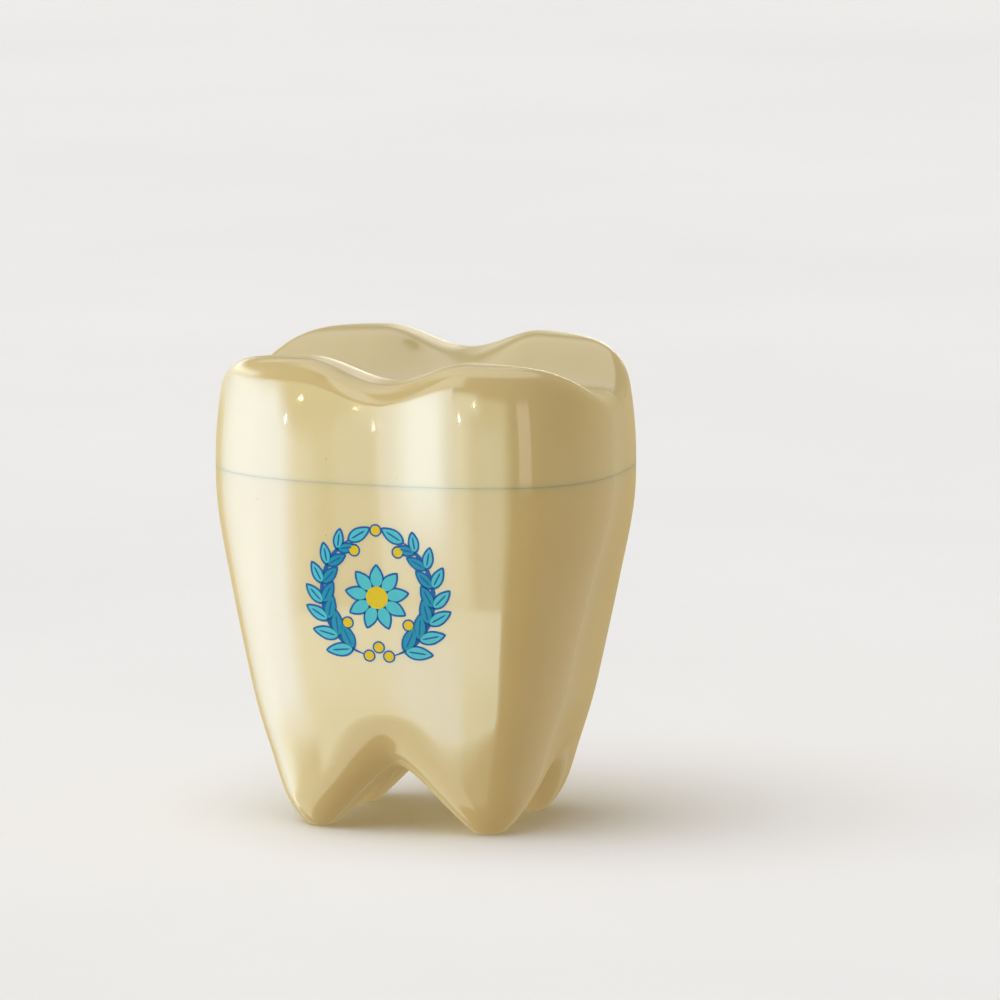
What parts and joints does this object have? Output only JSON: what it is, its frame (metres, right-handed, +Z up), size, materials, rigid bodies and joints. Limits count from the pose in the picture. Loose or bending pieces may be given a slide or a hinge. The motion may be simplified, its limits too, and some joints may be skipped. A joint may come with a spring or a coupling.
{
  "type": "tooth-shaped keepsake box",
  "caption": "Hollow cream plastic box in the shape of a molar tooth, standing on its root tips, with a crown lid hinged at the back and a smooth cup inside for baby teeth.",
  "frame": {"origin": "On the resting plane, under the middle of the whole box, hinge included.", "axes": "+Z up through the tooth, front with the print faces -Y, hinge at +Y, +X to the right seen from the front."},
  "size_m": [0.0784, 0.0686, 0.0906],
  "materials": {
    "shell_plastic": "glossy cream translucent moulded plastic",
    "cup_plastic": "satin cream moulded plastic",
    "pin_steel": "drawn steel wire"
  },
  "bodies": {
    "base": {"root_shell": "shell_plastic", "inner_cup": "cup_plastic", "hinge_pin": "pin_steel"},
    "lid": {"crown_lid": "shell_plastic"}
  },
  "joints": [
    {"name": "lid_hinge", "type": "hinge", "parent": "base", "child": "lid", "pos_m": [0, 0.03123, 0.06807], "axis": [-1, 0, 0], "range_deg": [0, 100]}
  ]
}
